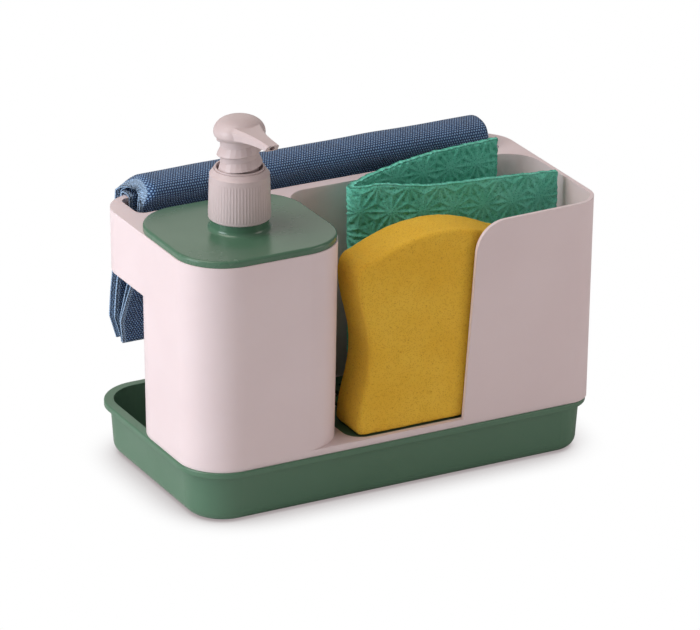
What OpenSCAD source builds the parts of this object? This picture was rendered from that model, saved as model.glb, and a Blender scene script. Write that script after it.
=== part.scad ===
// Soap pump caddy: a green drip tray, a white moulded caddy with a soap tank, an open
// sponge bay and a towel rail, a lid that carries a lotion pump, and what it holds.
// Front is -Y, up is +Z, the origin is under the middle of the tray.

/* [Caddy] */
// Width over the side walls at the rim
caddy_w = 249; // [230:1:270]
// Depth from the front wall to the back of the towel rail
caddy_d = 126.1; // [116:0.1:131]
// Height of the rim above the table
rim_z = 150.5; // [142:0.5:165]
// Depth from the rear wall of the box to the back of the towel rail
rail_room = 35.4; // [33:0.1:40]
// Wall thickness of the moulding
wall = 2.3; // [1.8:0.1:3]
// Draft angle of every moulded wall, in degrees
draft_angle = 0.7; // [0.3:0.1:1]
// Radius of the front right corner
front_r = 17; // [14:1:22]
// Radius of the rear corners, and of the tray's front right corner
corner_r = 22; // [19:1:26]
// Thickness of the top plate round the towel slot
plate_t = 2.4; // [1.8:0.1:3]

/* [Tank] */
// Width of the soap tank
tank_w = 94.4; // [84:0.1:104]
// Radius of the tank's upright corners
tank_r = 28; // [22:1:32]
// Thickness of the tank floor
floor_t = 2.2; // [1.6:0.1:3]
// Height of the tank floor above the tray floor
floor_lift = 3; // [2:0.5:5]

/* [Sponge bay] */
// Height of the front sill above the table
sill_z = 35.5; // [34.5:0.5:40]
// Radius in plan where the sill turns to the tank
sill_r = 11; // [6:1:14]
// Radius of the bay's rear left corner
bay_r = 15; // [8:1:20]
// Foot of the window's right edge, from the middle
window_foot_x = 38.1; // [20:0.1:60]
// Lean of the window's right edge, from foot to shoulder
window_lean = 6.2; // [2:0.1:12]
// Radius of the shoulder of the front wall
window_r = 18; // [8:1:24]
// Drop of the front wall's top edge at the shoulder
window_dip = 0.8; // [0.2:0.1:3]

/* [Towel rail] */
// Height of the rail band
rail_h = 36.3; // [24:0.1:44]
// Width of the rail's top
rail_w = 5.5; // [4:0.1:7]
// Depth of the towel slot, front to back
slot_d = 24.7; // [20:0.1:26]
// Width of the plate left at each end of the slot
slot_margin = 11.1; // [9:0.1:16]
// Corner radius of the slot
slot_r = 5; // [4:0.5:6]

/* [Drip tray] */
// Depth over the tray's lip
tray_d = 140.6; // [136:0.1:146]
// Height of the lip's top face
lip_z = 31.5; // [28:0.5:33]
// How far the lip shows past the foot of the caddy wall
lip_show = 1.2; // [0.6:0.1:2]
// Overhang of the lip past the tray wall
lip_over = 3.3; // [2:0.1:4.5]
// Thickness of the lip
lip_t = 3.2; // [2:0.1:4]
// Thickness of the tray wall and floor
tray_wall = 2.2; // [1.6:0.1:2.8]
// Radius along the bottom edge of the tray
tray_low_r = 7; // [5:0.5:9]
// Radius of the tray's rear corners
tray_rear_r = 26; // [20:1:30]

/* [Drain grate] */
// Thickness of the drain grate
grate_t = 2.2; // [1.6:0.1:2.4]
// Width of a drain slot
drain_w = 3.4; // [2.5:0.1:4.5]
// Spacing of the drain slots
drain_pitch = 8; // [7:0.5:12]

/* [Lid] */
// Thickness of the lid above the rim
lid_t = 3.7; // [3:0.1:5]
// Radius along the lid's top edge
lid_edge_r = 1.4; // [0.6:0.1:1.6]
// Depth of the plug inside the tank's mouth
plug_h = 9.5; // [8:0.5:14]
// Radius of the neck that shows below the collar
neck_show_r = 16; // [15.5:0.1:16.5]
// Height of that part of the neck
neck_show_h = 6.1; // [4:0.1:9]

/* [Pump] */
// Outer radius of the collar at its foot
collar_r = 17; // [16.5:0.1:17.5]
// Height of the collar to its shoulder
collar_h = 25.1; // [24:0.1:26]
// Stroke of the pump
stroke = 8.5; // [6:0.5:8.5]
// Outer radius of the lock thread
thread_r = 12.4; // [12:0.1:12.5]
// Pitch of the lock thread
thread_pitch = 8.3; // [7:0.1:10]
// Greatest radius of the head's dome
dome_r = 14.1; // [13:0.1:15]
// Reach of the spout from the axis
spout_reach = 40.5; // [30:0.5:42]
// Direction of the spout, in degrees from the right-hand side
spout_turn = -90; // [-180:5:180]

/* [Contents] */
// Width of the sponge
sponge_w = 100; // [70:1:104]
// Height of the sponge at its crown
sponge_h = 112; // [80:1:114]
// Thickness of the sponge
sponge_t = 28; // [18:1:30]
// Thickness of the sponge cloth
cloth_t = 5; // [3:0.1:5]
// Height of the sponge cloth's front flap
cloth_h = 120; // [90:1:124]
// Length of the towel along the rail
towel_w = 220; // [150:1:220]
// How far the towel hangs below the rail band
towel_drop = 48; // [20:1:60]

/* [Hidden] */

$fn = 64;
// Overrun of every cut past the face that it opens
cut = 1;
white = "#efe6e8";
green = "#4d7a5c";
steel = "#b9bcc0";
natural = "#dfe3e2";

// A plan box is [left, right, front, rear]. This one stands in from another by a margin.
function inset(box, by) = [box[0] + by, box[1] - by, box[2] + by, box[3] - by];
function less(radii, by) = [for (r = radii) r - by];
// Plans and heights of moulded blocks fall on an even grid, so that their faces meet
grid = 0.01;
function even(v) = round(v / grid) * grid;
// Small lap by which a keep-out stands past a wall that it follows
lap = 0.02;

// Plan of the caddy at its rim. Radii run front left, front right, rear right, rear left.
rate = tan(draft_angle);
foot_draft = even((rim_z - lip_z) * rate);
lip_grow = lip_show - foot_draft;
left_x = -caddy_w / 2;
right_x = caddy_w / 2;
front_y = even((lip_grow + max(lip_grow, 0) - tray_d) / 2);
rail_y = front_y + caddy_d;
box_d = caddy_d - rail_room;
rear_y = front_y + box_d;
tank_right = left_x + tank_w;
corner_y = rear_y - tank_r;
slot_rear = rail_y - rail_w;
slot_front = slot_rear - slot_d;
rail_z = rim_z - rail_h;
caddy_box = [left_x, right_x, front_y, rail_y];
caddy_radii = [tank_r, front_r, corner_r, corner_r];
tank_box = [left_x, tank_right, front_y, rear_y];
tank_radii = [tank_r, tank_r, tank_r, tank_r];

// Drip tray: its lip follows the foot of the caddy wall
lip_front = front_y - lip_grow;
lip_box = [left_x - lip_grow, right_x + lip_grow, lip_front, lip_front + tray_d];
lip_radii = [tank_r + lip_grow, corner_r + lip_grow, tray_rear_r, tray_rear_r];
lip_edge_r = 0.8;
hem_t = 1.3;
hem_depth = 1.6;
tray_angle = 4;
tray_rate = tan(tray_angle);
tray_floor = tray_wall;
tray_box = inset(lip_box, lip_over);
tray_radii = less(lip_radii, lip_over);

// Plinth: the foot of the caddy that stands inside the tray
plinth_gap = 1;
plinth_relief = 0.25;
plinth_low_r = tray_low_r - tray_wall;
plinth_inset = even(lip_over + tray_wall + plinth_gap + (lip_z - tray_low_r) * (tray_rate - rate));
plinth_rear = rear_y - foot_draft - plinth_relief;
plinth_box = [left_x + plinth_inset, right_x - plinth_inset, front_y + plinth_inset, plinth_rear];
plinth_radii = [tank_r - plinth_inset, corner_r - plinth_inset, corner_r, corner_r];
rear_arches = 3;
side_arches = 2;
arch_w = 18;
arch_h = 2.6;
tank_floor_z = tray_floor + floor_lift + floor_t;

// Seat of the drain grate: it clears the tank wall at the rim, so the grate drops in
grate_gap = 0.3;
pocket_relief = 0.6;
ledge_w = 5.4;
ledge_t = 2.2;
ledge_z = sill_z - grate_t - grate_gap;
grate_top = ledge_z + grate_t;
pocket_side = wall + foot_draft + pocket_relief;
pocket_box = [tank_right + grate_gap, right_x - pocket_side, front_y + pocket_side, rear_y - pocket_side];
pocket_radii = [sill_r, front_r - pocket_side, corner_r - pocket_side, bay_r];
ledge_radii = [sill_r - ledge_w, plinth_radii[1] - wall, pocket_radii[2] - ledge_w, bay_r - ledge_w];
drain_margin = 9;
drain_land = 7;
window_run = 44;

// Tank lid
lid_inset = 0.6;
lid_top = rim_z + lid_t;
lid_box = inset(tank_box, lid_inset);
lid_radii = less(tank_radii, lid_inset);
lid_plate = 2.6;
plug_gap = 1;
plug_wall = 2.4;
plug_box = inset(tank_box, wall + plug_gap);
plug_radii = less(tank_radii, wall + plug_gap);
seal_lift = 2.5;
seal_h = 3;
seal_depth = 1;
seal_stand = 0.6;
seal_edge_r = 0.7;
seal_z = rim_z - plug_h + seal_lift;
pump_x = (lid_box[0] + lid_box[1]) / 2;
pump_y = (lid_box[2] + lid_box[3]) / 2;
neck_r = 14;
neck_bore = 12.2;
neck_flare = 2.4;
neck_thread_h = 10.6;

// Pump, upward from the top of the neck
fit = 0.15;
slide_fit = 0.05;
gasket_t = 1.2;
flange_t = 1.5;
web_t = 1.7;
web_bore = 11;
chaplet_floor = 1.8;
chaplet_wall = 0.9;
chaplet_h = 12;
chaplet_show = 1;
head_clear = 0.5;
collar_foot = lid_top + neck_show_h;
neck_top = collar_foot + neck_thread_h;
flange_low = neck_top + gasket_t;
web_low = flange_low + flange_t;
chaplet_low = web_low + web_t + fit;
chaplet_top = chaplet_low + chaplet_floor + chaplet_h;
chaplet_bore = thread_r + 2 * fit;
chaplet_r = chaplet_bore + chaplet_wall;
collar_top = chaplet_top - chaplet_show;
collar_shoulder = collar_foot + collar_h;
collar_throat = 14.2;
collar_lean = 0.7;
collar_edge = 0.9;
collar_foot_r = 0.8;
rib_count = 60;
rib_h = 0.14;
rib_sink = 0.08;
rib_low = 2;
rib_band = 22;
cup_r = 11.9;
cup_bore = 10.6;
cup_h = 14;
cylinder_r = 7.8;
cylinder_bore = 6.2;
cylinder_h = 42;
taper_h = 3;
cup_low = flange_low - cup_h;
cylinder_low = cup_low - cylinder_h;
ball_r = 2.4;
cage_r = 2.9;
cage_h = 5.6;
cage_wall = 1.6;
port_r = 1.6;
port_h = 2;
cage_low = cylinder_low - cage_h;
seat_low = cage_low - (cage_r - port_r);
port_low = seat_low - port_h;
ball_z = seat_low + ball_r / sin(45) - port_r + slide_fit;
tube_r = 3.4;
tube_bore = 2.5;
tube_hold = 9;
tube_wall = 1.5;
tube_clear = 2;
tube_cut = 30;
sleeve_h = 8;
sleeve_wall = 1.5;
stem_r = 3.9;
stem_bore = 2.4;
stem_hold = 9;
piston_h = 6;
piston_drop = 3.6;
piston_wall = 0.7;
piston_low = cup_low - piston_drop - piston_h;
seat_t = 1.6;
seat_r = 5.4;
stub_h = 5;
spring_r = 4.7;
spring_wire = 0.45;
spring_turns = 8;
spring_low = cylinder_low + spring_wire;
spring_high = piston_low - seat_t - spring_wire;

// Pump head
skirt_r = 10.4;
skirt_h = 19.5;
skirt_wall = 1.8;
skirt_low = chaplet_low + chaplet_floor + stroke + head_clear;
dome_low = skirt_low + skirt_h;
dome_h = 11.85;
dome_top = dome_low + dome_h;
dome_wide_share = 0.29;
dome_round_share = 0.75;
socket_r = 5.9;
thread_foot = 0.3;
thread_top = 0.8;
thread_root = 0.8;
ring_step = 15;
// Section of the lock thread: share of its stand, share of its height
thread_stand_shares = [0, 0.75, 1, 0.8, 0.35, 0];
thread_rise_shares = [0.06, 0, 0.1, 0.35, 0.8, 1];
thread_h = 6;
thread_turn = 128;
thread_tail_share = 0.1;
// Spout: share of its reach, of its root's half width, and of the dome's height
spout_root_w = 20.8;
spout_reach_shares = [0.08, 0.165, 0.28, 0.42, 0.55, 0.67, 0.8, 1];
spout_wide_shares = [1, 0.97, 0.84, 0.64, 0.51, 0.43, 0.38, 0.35];
spout_roof_shares = [0.78, 0.77, 0.755, 0.745, 0.74, 0.735, 0.73, 0.715];
spout_floor_shares = [0.06, 0.1, 0.17, 0.23, 0.28, 0.32, 0.35, 0.38];
spout_back_share = 0.08;
spout_girth_shares = [0.8, 1, 1, 0.78];
spout_level_shares = [0, 0.12, 0.72, 1];
nozzle_r = 1.5;
nozzle_share = 0.55;

// Contents
soft_gap = 0.35;
bay_left = pocket_box[0];
bay_w = pocket_box[1] - pocket_box[0];
bay_d = pocket_box[3] - pocket_box[2];
sponge_gap = 4.3;
sponge_waist = 7;
sponge_crown = 13;
sponge_corner_r = 8;
sponge_edge_r = 2.5;
sponge_steps = 12;
sponge_turn_share = 0.17;
// Rounding of the sponge's two faces, in shares of its edge radius: depth, then margin
sponge_depth_shares = [0, 0.3, 1, 1, 1.7, 2];
sponge_inset_shares = [1, 0.3, 0, 0, 0.3, 1];
// Plan path of the sponge cloth, from the end of its front flap round the fold to its rear
// end, as shares of the bay, and its height along the way
cloth_x_shares = [0.979, 0.731, 0.48, 0.317, 0.233, 0.317, 0.56, 0.876];
cloth_y_shares = [0.439, 0.475, 0.56, 0.696, 0.808, 0.922, 0.951, 0.955];
cloth_h_shares = [0.993, 1.006, 1.006, 1.015, 0.99, 0.99, 1.041, 1.066];
cloth_steps = 5;
cloth_edge = 1;
// Section of the towel, from its front foot over the rail to its rear foot: shares of its
// depth, of its height, and of the rail's width under it
towel_out_shares = [0.505, 0.464, 0.341, 0.222, 0.172, 0.11, 0.13, 0.235, 0.42, 0.614, 0.805,
    0.949, 1, 1, 0.99, 0.974];
towel_up_shares = [0, 0.228, 0.525, 0.752, 0.861, 0.92, 0.96, 0.988, 1, 0.988, 0.956, 0.906,
    0.832, 0.574, 0.228, 0];
towel_in_shares = [0, 0, 0, 0, 0, 0.03, 0.12, 0.3, 0.5, 0.65, 0.8, 0.97, 1, 1, 1, 1];
towel_gap = 0.6;
towel_leg = 7;
towel_rise = 14.7;
towel_wave = 1.2;
towel_waves = 2.5;
towel_steps = 14;
towel_foot = rail_z - towel_drop;

// Half profile of a drafted block: its lower and upper edges may be rounded by true arcs
module edge_profile(reach, z, lean, low_r, high_r) {
    low = reach + lean[0];
    high = reach + lean[1];
    polygon(concat(
        [[0, z[0]]],
        low_r > 0 ? [[low - low_r, z[0]], [low, z[0] + low_r]] : [[low, z[0]]],
        high_r > 0 ? [[high, z[1] - high_r], [high - high_r, z[1]]] : [[high, z[1]]],
        [[0, z[1]]]));
    if (low_r > 0) translate([low - low_r, z[0] + low_r]) circle(low_r);
    if (high_r > 0) translate([high - high_r, z[1] - high_r]) circle(high_r);
}

// Moulded block over a plan box between two heights: cones at its corners, planes between.
// The plan holds at the height ref, and the walls lean out by slope above it.
module moulded(plan_box, z, radii, ref, slope = rate, low_r = 0, high_r = 0) {
    box = [for (v = plan_box) even(v)];
    r = [for (v = radii) even(v)];
    h = [for (v = z) even(v)];
    cx = [box[0] + r[0], box[1] - r[1], box[1] - r[2], box[0] + r[3]];
    cy = [box[2] + r[0], box[2] + r[1], box[3] - r[2], box[3] - r[3]];
    xm = (box[0] + box[1]) / 2;
    ym = (box[2] + box[3]) / 2;
    lean = [even((z[0] + low_r - ref) * slope), even((z[1] - high_r - ref) * slope)];
    module side(reach) edge_profile(reach, h, lean, low_r, high_r);
    for (i = [0 : 3]) translate([cx[i], cy[i], 0]) rotate([0, 0, 180 + 90 * i]) rotate_extrude(angle = 90)
        side(r[i]);
    translate([xm, cy[2], 0]) rotate([90, 0, 0]) linear_extrude(cy[2] - cy[1]) side(box[1] - xm);
    translate([cx[3], ym, 0]) rotate([90, 0, 90]) linear_extrude(cx[2] - cx[3]) side(box[3] - ym);
    translate([xm, cy[0], 0]) rotate([90, 0, 180]) linear_extrude(cy[3] - cy[0]) side(xm - box[0]);
    translate([cx[1], ym, 0]) rotate([90, 0, -90]) linear_extrude(cx[1] - cx[0]) side(ym - box[2]);
}

// Flat plan of a box with rounded corners
module plan(plan_box, r) {
    box = [for (v = plan_box) even(v)];
    for (x = [box[0] + r, box[1] - r], y = [box[2] + r, box[3] - r]) translate([x, y]) circle(r);
    translate([box[0] + r, box[2]]) square([box[1] - box[0] - 2 * r, box[3] - box[2]]);
    translate([box[0], box[2] + r]) square([box[1] - box[0], box[3] - box[2] - 2 * r]);
}

// Solid through a list of closed rings. Point j of a ring faces point n - 1 - j, so the end
// caps are strips from side to side.
module loft(rings) {
    n = len(rings[0]);
    last = len(rings) - 1;
    function at(i, j) = i * n + j % n;
    sides = [for (i = [0 : last - 1], j = [0 : n - 1])
        each [[at(i, j), at(i, j + 1), at(i + 1, j)], [at(i, j + 1), at(i + 1, j + 1), at(i + 1, j)]]];
    low = [for (j = [0 : n / 2 - 2]) each [[j, n - 2 - j, j + 1], [j, n - 1 - j, n - 2 - j]]];
    high = [for (f = low) [for (k = [2, 1, 0]) at(last, 0) + f[k]]];
    polyhedron([for (ring = rings) each ring], concat(sides, low, high), convexity = 8);
}

// Curve through a list of points: point at step t between points i and i + 1
function curve(p, i, t) =
    let (a = p[max(i - 1, 0)], b = p[i], c = p[i + 1], d = p[min(i + 2, len(p) - 1)])
    b + (c - a) * t / 2 + (2 * a - 5 * b + 4 * c - d) * t * t / 2 + (3 * b - a - 3 * c + d) * t * t * t / 2;

module ring(outer, inner, z, h) translate([0, 0, z]) difference() {
    cylinder(h = h, r = outer);
    translate([0, 0, -cut]) cylinder(h = h + 2 * cut, r = inner);
}

module at_pump() translate([pump_x, pump_y, 0]) children();

module drip_tray() color(green) difference() {
    union() {
        moulded(tray_box, [0, lip_z - lip_edge_r], tray_radii, lip_z, tray_rate, tray_low_r);
        difference() {
            moulded(lip_box, [lip_z - lip_t, lip_z], lip_radii, lip_z, 0, 0, lip_edge_r);
            moulded(inset(lip_box, hem_t), [lip_z - lip_t - cut, lip_z - lip_t + hem_depth],
                less(lip_radii, hem_t), lip_z, 0);
        }
    }
    moulded(inset(tray_box, tray_wall), [tray_floor, lip_z + cut], less(tray_radii, tray_wall), lip_z,
        tray_rate, plinth_low_r);
}

// Room behind the tank and the bay: open under the rail band, hollow inside the band
module rear_hollow() difference() {
    union() {
        translate([left_x - cut, corner_y - cut, lip_z - cut])
            cube([caddy_w + 2 * cut, caddy_d, rail_z - lip_z + cut]);
        moulded(inset(caddy_box, wall), [lip_z - cut, rim_z - plate_t], less(caddy_radii, wall), rim_z);
    }
    translate([left_x - 2 * cut, front_y - cut, 0])
        cube([caddy_w + 4 * cut, corner_y - front_y + cut, rim_z + cut]);
    moulded([left_x - lap, tank_right, front_y, rear_y], [0, rim_z + cut], tank_radii, rim_z);
    bay_wall_left = tank_right - wall - 2 * foot_draft;
    moulded([bay_wall_left, right_x + lap, front_y, rear_y], [0, rim_z + cut],
        [front_r, front_r, corner_r, bay_r + wall], rim_z);
}

module tank_hollow() {
    low_right = tank_right - foot_draft - plinth_relief;
    low_box = inset([plinth_box[0], low_right, plinth_box[2], plinth_box[3]], wall);
    moulded(inset(tank_box, wall), [lip_z + wall, rim_z + cut], less(tank_radii, wall), rim_z);
    moulded(low_box, [tank_floor_z, lip_z + 2 * wall], [for (i = [0 : 3]) plinth_radii[0] - wall], lip_z);
}

// Sponge bay above the sill. The tank's rounded wall and a fillet in its rear corner stay.
module bay_hollow() difference() {
    moulded([tank_right - tank_r, right_x - wall, front_y + wall, rear_y - wall], [sill_z, rim_z + cut],
        [wall, front_r - wall, corner_r - wall, wall], rim_z);
    tank_keep();
    translate([tank_right + bay_r, rear_y - wall - bay_r, rim_z]) rotate([-draft_angle, draft_angle, 0])
        difference() {
            translate([-2 * bay_r, 0, -rim_z]) cube([2 * bay_r, 2 * bay_r, 2 * rim_z]);
            translate([0, 0, -rim_z - cut]) cylinder(h = 2 * rim_z + 2 * cut, r = bay_r + slide_fit);
        }
}

module tank_keep() moulded([left_x, tank_right, front_y - lap, rail_y], [0, rim_z + 2 * cut],
    [tank_r, tank_r, wall, wall], rim_z);

// Pocket, ledge and drain room under the drain grate
module grate_seat() {
    low_box = [tank_right - foot_draft, plinth_box[1] - wall, plinth_box[2] + wall, plinth_box[3] - wall];
    moulded(pocket_box, [ledge_z, sill_z + cut], pocket_radii, sill_z, 0);
    moulded(inset(pocket_box, ledge_w), [lip_z - 2 * ledge_t, sill_z], ledge_radii, sill_z, 0);
    moulded(low_box, [tray_floor - cut, ledge_z - ledge_t],
        [ledge_w, plinth_radii[1] - wall, corner_r - wall, ledge_w], lip_z);
}

// Window through the front wall: a leaning right edge and a round shoulder up to the rim
module window() {
    shoulder_x = window_foot_x + window_lean + window_r;
    shoulder_z = rim_z - window_dip - window_r;
    end_x = right_x - front_r + window_dip;
    difference() {
        translate([0, front_y + window_run, 0]) rotate([90, 0, 0]) linear_extrude(window_run + cut)
            difference() {
                polygon([[tank_right - tank_r - cut, sill_z], [window_foot_x, sill_z],
                    [window_foot_x + window_lean, shoulder_z], [shoulder_x, rim_z - window_dip],
                    [end_x, rim_z], [end_x, rim_z + cut], [tank_right - tank_r - cut, rim_z + cut]]);
                translate([shoulder_x, shoulder_z]) circle(window_r);
            }
        tank_keep();
    }
}

module arches() {
    module arch(x, y, turn) translate([x, y, tray_floor - cut]) rotate([0, 0, turn])
        translate([-arch_w / 2, -wall - cut, 0]) cube([arch_w, 2 * wall + 2 * cut, arch_h + cut]);
    for (x = [1 : rear_arches])
        arch(tank_right + x * (plinth_box[1] - tank_right) / (rear_arches + 1), plinth_box[3], 0);
    for (y = [1 : side_arches]) arch(plinth_box[1], front_y + y * box_d / (side_arches + 1), 90);
}

module caddy_body() color(white) difference() {
    union() {
        moulded(caddy_box, [lip_z, rim_z], caddy_radii, rim_z);
        moulded(plinth_box, [tray_floor, lip_z + wall], plinth_radii, lip_z, rate, plinth_low_r);
    }
    rear_hollow();
    translate([0, 0, rim_z - plate_t - cut]) linear_extrude(plate_t + 2 * cut)
        plan([left_x + slot_margin, right_x - slot_margin, slot_front, slot_rear], slot_r);
    tank_hollow();
    bay_hollow();
    grate_seat();
    window();
    arches();
}

module drain_grate() color(green) {
    box = inset(pocket_box, grate_gap);
    field = inset(box, drain_margin);
    count = floor((field[1] - field[0] - drain_w) / drain_pitch);
    slot_l = (field[3] - field[2] - drain_land) / 2;
    first = (field[0] + field[1] - count * drain_pitch) / 2;
    difference() {
        moulded(box, [ledge_z, grate_top], less(pocket_radii, grate_gap), grate_top, 0);
        for (i = [0 : count], y = [field[2], field[3] - slot_l])
            translate([first + i * drain_pitch, y, ledge_z - cut]) linear_extrude(grate_t + 2 * cut) {
                for (end = [drain_w / 2, slot_l - drain_w / 2]) translate([0, end]) circle(drain_w / 2);
                translate([-drain_w / 2, drain_w / 2]) square([drain_w, slot_l - drain_w]);
            }
    }
}

module tank_lid() color(green) {
    difference() {
        union() {
            moulded(lid_box, [rim_z, lid_top], lid_radii, lid_top, 0, 0, lid_edge_r);
            moulded(plug_box, [rim_z - plug_h, rim_z + slide_fit], plug_radii, rim_z, 0);
            at_pump() {
                translate([0, 0, rim_z]) cylinder(h = lid_t + neck_show_h, r = neck_show_r);
                translate([0, 0, rim_z]) cylinder(h = lid_t + neck_show_h + neck_thread_h, r = neck_r);
                translate([0, 0, lid_top]) rotate_extrude() difference() {
                    square([neck_show_r + neck_flare, neck_flare]);
                    translate([neck_show_r + neck_flare, neck_flare]) circle(neck_flare);
                }
            }
        }
        moulded(inset(plug_box, plug_wall), [rim_z - plug_h - cut, lid_top - lid_plate],
            less(plug_radii, plug_wall), rim_z, 0);
        difference() {
            moulded(tank_box, [seal_z, seal_z + seal_h], tank_radii, rim_z, 0);
            moulded(inset(plug_box, seal_depth), [seal_z - cut, seal_z + seal_h + cut],
                less(plug_radii, seal_depth), rim_z, 0);
        }
        at_pump() cylinder(h = neck_top + cut, r = neck_bore);
    }
}

module lid_seal() color(natural) difference() {
    moulded(inset(plug_box, -seal_stand), [seal_z, seal_z + seal_h], less(plug_radii, -seal_stand), rim_z, 0,
        seal_edge_r, seal_edge_r);
    moulded(inset(plug_box, seal_depth), [seal_z - cut, seal_z + seal_h + cut], less(plug_radii, seal_depth),
        rim_z, 0);
}

module neck_gasket() color(natural) at_pump() ring(neck_r, neck_bore + fit, neck_top, gasket_t);

// Collar: screws on the neck, its web holds the flange down and its rim hides the chaplet
module pump_collar() color(white) at_pump() difference() {
    union() {
        rotate_extrude() difference() {
            polygon([[0, collar_foot], [collar_r, collar_foot], [collar_r - collar_lean, collar_shoulder],
                [collar_r - collar_lean - collar_edge, collar_shoulder + collar_edge],
                [collar_throat, collar_top], [0, collar_top]]);
            translate([collar_r, collar_foot]) rotate(45) square(collar_foot_r, center = true);
        }
        low_r = collar_r - collar_lean * rib_low / collar_h;
        narrowing = collar_lean * (rib_band - rib_low) / collar_h / low_r;
        translate([0, 0, collar_foot + rib_low])
            linear_extrude(rib_band - rib_low, scale = 1 - narrowing)
                polygon([for (i = [0 : 2 * rib_count - 1]) let (a = i * 180 / rib_count,
                    r = low_r - rib_sink + (rib_h + rib_sink) * (i % 2)) r * [cos(a), sin(a)]]);
    }
    translate([0, 0, collar_foot - cut]) cylinder(h = web_low - collar_foot + cut, r = neck_r + fit);
    translate([0, 0, web_low + web_t]) cylinder(h = collar_top - web_low, r = chaplet_r + fit);
    translate([0, 0, web_low - cut]) cylinder(h = web_t + 2 * cut, r = web_bore);
}

// Housing: flange, cup for the chaplet, cylinder, ball cage with its seat, tube socket
module pump_housing() color(natural) at_pump() rotate_extrude() polygon([
    [neck_r, web_low], [neck_r, flange_low], [cup_r, flange_low], [cup_r, cup_low],
    [cylinder_r, cup_low - taper_h], [cylinder_r, cylinder_low],
    [cage_r + cage_wall, cylinder_low - taper_h], [tube_r + tube_wall, port_low - taper_h],
    [tube_r + tube_wall, port_low - tube_hold], [tube_r, port_low - tube_hold], [tube_r, port_low],
    [port_r, port_low], [port_r, seat_low], [cage_r, cage_low], [cage_r, cylinder_low],
    [cylinder_bore, cylinder_low], [cylinder_bore, cup_low], [cup_bore, cup_low + taper_h / 2],
    [cup_bore, web_low]]);

// Chaplet: guides the stem, and its cup takes the screwed skirt of the head
module pump_chaplet() color(white) at_pump() difference() {
    union() {
        translate([0, 0, chaplet_low]) cylinder(h = chaplet_top - chaplet_low, r = chaplet_r);
        translate([0, 0, web_low + fit - sleeve_h])
            cylinder(h = sleeve_h + web_t + fit, r = cup_bore - slide_fit);
    }
    translate([0, 0, chaplet_low + chaplet_floor]) cylinder(h = chaplet_h + cut, r = chaplet_bore);
    translate([0, 0, web_low - sleeve_h - cut])
        cylinder(h = sleeve_h + cut, r = cup_bore - slide_fit - sleeve_wall);
    cylinder(h = chaplet_top, r = stem_r + slide_fit);
}

module pump_stem() color(white) at_pump() ring(stem_r, stem_bore, piston_low + piston_h / 2,
    dome_low + stem_hold - piston_low - piston_h / 2);

// Seat at the foot of the stem: the piston closes on it, and the spring pushes it up
module piston_seat() color(white) at_pump() {
    translate([0, 0, piston_low - seat_t]) cylinder(h = seat_t, r = seat_r);
    translate([0, 0, piston_low]) cylinder(h = piston_h / 2, r = stem_bore - slide_fit);
    translate([0, 0, piston_low]) cylinder(h = piston_h / 2 + stub_h, r = stem_bore - 3 * slide_fit);
}

module pump_piston() color(natural) at_pump() rotate_extrude() difference() {
    translate([stem_bore, piston_low]) square([cylinder_bore - slide_fit - stem_bore, piston_h]);
    translate([stem_bore - cut, piston_low + piston_h / 2])
        square([stem_r + slide_fit - stem_bore + cut, piston_h]);
    translate([stem_r + piston_wall, piston_low + piston_h / 2])
        square([cylinder_bore - stem_r - 2 * piston_wall, piston_h]);
}

module return_spring() color(steel) at_pump() {
    turn_steps = 12;
    rise = (spring_high - spring_low) / (turn_steps * spring_turns);
    loft([for (i = [0 : turn_steps * spring_turns]) let (a = i * 360 / turn_steps)
        [for (b = [0 : 60 : 300]) let (r = spring_r + spring_wire * cos(b))
            [r * cos(a), r * sin(a), spring_low + i * rise + spring_wire * sin(b)]]]);
}

module inlet_ball() color(steel) at_pump() translate([0, 0, ball_z]) sphere(ball_r);

module dip_tube() color(natural) at_pump() difference() {
    ring(tube_r, tube_bore, tank_floor_z + tube_clear, port_low - tank_floor_z - tube_clear);
    translate([-tube_r, 0, tank_floor_z + tube_clear]) rotate([0, -tube_cut, 0])
        translate([-tube_r, -2 * tube_r, -4 * tube_r]) cube([4 * tube_r, 4 * tube_r, 4 * tube_r]);
}

// Lock thread round the skirt: a helical ridge that flares down to a sharp foot
module lock_thread() {
    turns = (skirt_h - thread_foot - thread_top) / thread_pitch;
    steps = floor(360 * turns / ring_step);
    root = skirt_r - thread_root;
    loft([for (i = [0 : steps]) let (a = i * ring_step, fade = min(1, i / 3, (steps - i) / 3),
        z = skirt_low + thread_foot + thread_pitch * a / 360)
        [for (k = [0 : len(thread_stand_shares) - 1])
            let (r = root + (thread_r - root) * thread_stand_shares[k] * max(fade, thread_tail_share))
            [r * cos(a), r * sin(a), z + thread_h * thread_rise_shares[k]]]]);
}

module spout() loft([for (k = [0 : len(spout_reach_shares) - 1]) let (
        wide = spout_root_w / 2 * spout_wide_shares[k],
        low = dome_low + dome_h * spout_floor_shares[k],
        high = dome_low + dome_h * spout_roof_shares[k],
        far = spout_reach * spout_reach_shares[k],
        near = far * (k == len(spout_reach_shares) - 1 ? 1 - spout_back_share : 1))
    [for (s = [-1, 1]) each [for (c = s < 0 ? [0, 1, 2, 3] : [3, 2, 1, 0]) let (
        share = spout_girth_shares[c], up = spout_level_shares[c])
        [near + (far - near) * up, s * wide * share, low + (high - low) * up]]]]);

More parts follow.
